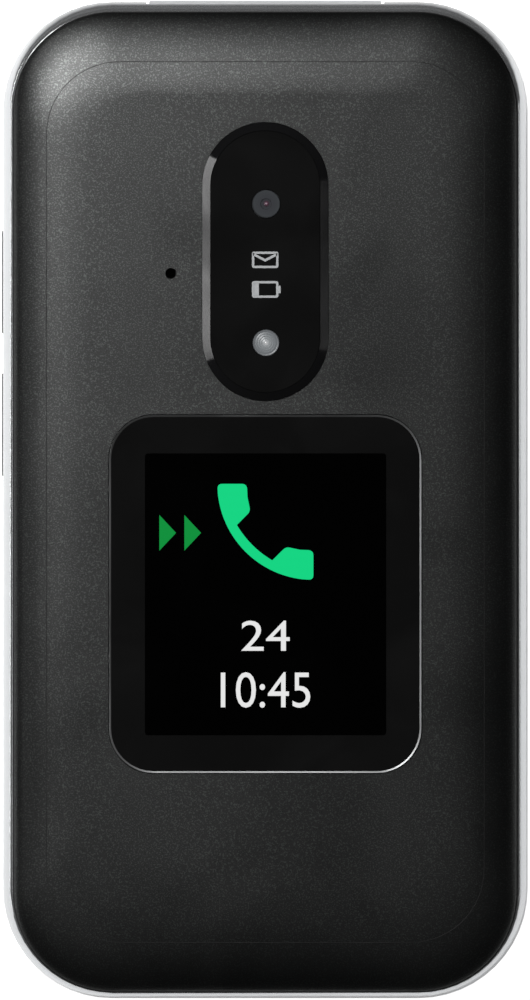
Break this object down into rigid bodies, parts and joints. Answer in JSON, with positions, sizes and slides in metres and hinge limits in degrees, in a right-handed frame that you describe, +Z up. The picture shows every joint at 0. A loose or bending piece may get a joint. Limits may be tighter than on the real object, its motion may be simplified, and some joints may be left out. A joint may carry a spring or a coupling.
{
  "type": "flip phone",
  "caption": "Closed clamshell mobile phone with a hinged lid, outer display, raised camera island, sprung keypad and side keys, and a sliding battery cover.",
  "frame": {"origin": "middle of the back face that the closed phone lies on", "axes": "+X across the phone, +Y along it towards the hinge, +Z up through the lid's cover"},
  "size_m": [0.0578, 0.1095, 0.0201],
  "materials": {
    "frame_shell": "white, satin gloss",
    "cover_shell": "charcoal paint with a fine speckle",
    "key_plastic": "black gloss, printed figures",
    "assist_plastic": "satin red",
    "black_plastic": "moulded black",
    "island_plastic": "polished black",
    "window_glass": "polished, printed black behind",
    "display_glass": "polished",
    "lens_glass": "coated, polished",
    "flash_plastic": "translucent",
    "satin_metal": "satin",
    "steel": "as stamped",
    "brass": "turned",
    "battery_can": "wrapped in a dark label",
    "circuit_board": "solder mask",
    "rubber_mat": "translucent silicone",
    "rubber_bumper": "soft",
    "flex_film": "amber film"
  },
  "bodies": {
    "base": {"base_front_frame": "frame_shell", "base_rear_shell": "frame_shell", "rear_cap": "cover_shell", "battery_pack": "battery_can", "battery_connector": "black_plastic", "main_board": "circuit_board", "key_domes": "steel", "keypad_mat": "rubber_mat", "tact_switches": "steel", "base_microphone": "steel", "loudspeaker": "black_plastic", "usb_port": "steel", "sim_holder": "steel", "vibration_motor": "steel", "base_screws": "steel", "flex_cable_base": "flex_film", "hinge_cartridge": "steel", "hinge_spring": "steel", "hinge_pivot_bush": "brass"},
    "lid": {"lid_frame": "frame_shell", "lid_cover": "cover_shell", "lid_screws": "steel", "lid_bumpers": "rubber_bumper", "camera_island": "island_plastic", "camera_window": "window_glass", "camera_module": "black_plastic", "camera_lens": "lens_glass", "flash_lens": "flash_plastic", "outer_window": "window_glass", "outer_display": "display_glass", "main_display_window": "window_glass", "main_display": "display_glass", "lid_board": "circuit_board", "lid_microphone": "steel", "earpiece": "black_plastic", "flex_cable_lid": "flex_film", "hinge_shaft": "steel"},
    "key_1": {"key_1": "key_plastic"},
    "key_2": {"key_2": "key_plastic"},
    "key_3": {"key_3": "key_plastic"},
    "key_4": {"key_4": "key_plastic"},
    "key_5": {"key_5": "key_plastic"},
    "key_6": {"key_6": "key_plastic"},
    "key_7": {"key_7": "key_plastic"},
    "key_8": {"key_8": "key_plastic"},
    "key_9": {"key_9": "key_plastic"},
    "key_star": {"key_star": "key_plastic"},
    "key_0": {"key_0": "key_plastic"},
    "key_hash": {"key_hash": "key_plastic"},
    "call_key": {"call_key": "key_plastic"},
    "end_key": {"end_key": "key_plastic"},
    "left_soft_key": {"left_soft_key": "key_plastic"},
    "right_soft_key": {"right_soft_key": "key_plastic"},
    "ok_key": {"ok_key": "key_plastic"},
    "nav_pivot_pad": {"nav_pivot_pad": "steel"},
    "nav_ring": {"nav_ring": "satin_metal"},
    "volume_up_key": {"volume_up_key": "key_plastic"},
    "volume_down_key": {"volume_down_key": "key_plastic"},
    "assist_key": {"assist_key": "assist_plastic"},
    "battery_cover": {"battery_cover": "cover_shell"}
  },
  "joints": [
    {"name": "lid_hinge", "type": "hinge", "parent": "base", "child": "lid", "pos_m": [0, 0.0484, 0.0115], "axis": [-1, 0, 0], "range_deg": [0, 155]},
    {"name": "battery_cover_slide", "type": "slide", "parent": "base", "child": "battery_cover", "axis": [0, -1, 0], "range_m": [0, 0.05]},
    {"name": "key_1_press", "type": "slide", "parent": "base", "child": "key_1", "axis": [0, 0, -1], "range_m": [0, 0.00035], "stiffness_N_per_m": 1200},
    {"name": "key_2_press", "type": "slide", "parent": "base", "child": "key_2", "axis": [0, 0, -1], "range_m": [0, 0.00035], "stiffness_N_per_m": 1200},
    {"name": "key_3_press", "type": "slide", "parent": "base", "child": "key_3", "axis": [0, 0, -1], "range_m": [0, 0.00035], "stiffness_N_per_m": 1200},
    {"name": "key_4_press", "type": "slide", "parent": "base", "child": "key_4", "axis": [0, 0, -1], "range_m": [0, 0.00035], "stiffness_N_per_m": 1200},
    {"name": "key_5_press", "type": "slide", "parent": "base", "child": "key_5", "axis": [0, 0, -1], "range_m": [0, 0.00035], "stiffness_N_per_m": 1200},
    {"name": "key_6_press", "type": "slide", "parent": "base", "child": "key_6", "axis": [0, 0, -1], "range_m": [0, 0.00035], "stiffness_N_per_m": 1200},
    {"name": "key_7_press", "type": "slide", "parent": "base", "child": "key_7", "axis": [0, 0, -1], "range_m": [0, 0.00035], "stiffness_N_per_m": 1200},
    {"name": "key_8_press", "type": "slide", "parent": "base", "child": "key_8", "axis": [0, 0, -1], "range_m": [0, 0.00035], "stiffness_N_per_m": 1200},
    {"name": "key_9_press", "type": "slide", "parent": "base", "child": "key_9", "axis": [0, 0, -1], "range_m": [0, 0.00035], "stiffness_N_per_m": 1200},
    {"name": "key_star_press", "type": "slide", "parent": "base", "child": "key_star", "axis": [0, 0, -1], "range_m": [0, 0.00035], "stiffness_N_per_m": 1200},
    {"name": "key_0_press", "type": "slide", "parent": "base", "child": "key_0", "axis": [0, 0, -1], "range_m": [0, 0.00035], "stiffness_N_per_m": 1200},
    {"name": "key_hash_press", "type": "slide", "parent": "base", "child": "key_hash", "axis": [0, 0, -1], "range_m": [0, 0.00035], "stiffness_N_per_m": 1200},
    {"name": "call_key_press", "type": "slide", "parent": "base", "child": "call_key", "axis": [0, 0, -1], "range_m": [0, 0.00035], "stiffness_N_per_m": 1200},
    {"name": "end_key_press", "type": "slide", "parent": "base", "child": "end_key", "axis": [0, 0, -1], "range_m": [0, 0.00035], "stiffness_N_per_m": 1200},
    {"name": "left_soft_key_press", "type": "slide", "parent": "base", "child": "left_soft_key", "axis": [0, 0, -1], "range_m": [0, 0.00035], "stiffness_N_per_m": 1200},
    {"name": "right_soft_key_press", "type": "slide", "parent": "base", "child": "right_soft_key", "axis": [0, 0, -1], "range_m": [0, 0.00035], "stiffness_N_per_m": 1200},
    {"name": "ok_key_press", "type": "slide", "parent": "base", "child": "ok_key", "axis": [0, 0, -1], "range_m": [0, 0.0003], "stiffness_N_per_m": 1200},
    {"name": "nav_pad_rock", "type": "hinge", "parent": "base", "child": "nav_pivot_pad", "pos_m": [0, 0.0225, 0.0076], "axis": [0, 1, 0], "range_deg": [-1.6, 1.6], "stiffness_Nm_per_rad": 0.4},
    {"name": "nav_ring_rock", "type": "hinge", "parent": "nav_pivot_pad", "child": "nav_ring", "pos_m": [0, 0.0225, 0.0083], "axis": [1, 0, 0], "range_deg": [-1.6, 1.6], "stiffness_Nm_per_rad": 0.4},
    {"name": "volume_up_press", "type": "slide", "parent": "base", "child": "volume_up_key", "axis": [1, 0, 0], "range_m": [0, 0.00035], "stiffness_N_per_m": 1200},
    {"name": "volume_down_press", "type": "slide", "parent": "base", "child": "volume_down_key", "axis": [1, 0, 0], "range_m": [0, 0.00035], "stiffness_N_per_m": 1200},
    {"name": "assist_key_press", "type": "slide", "parent": "base", "child": "assist_key", "axis": [0, 0, 1], "range_m": [0, 0.00035], "stiffness_N_per_m": 1200}
  ]
}
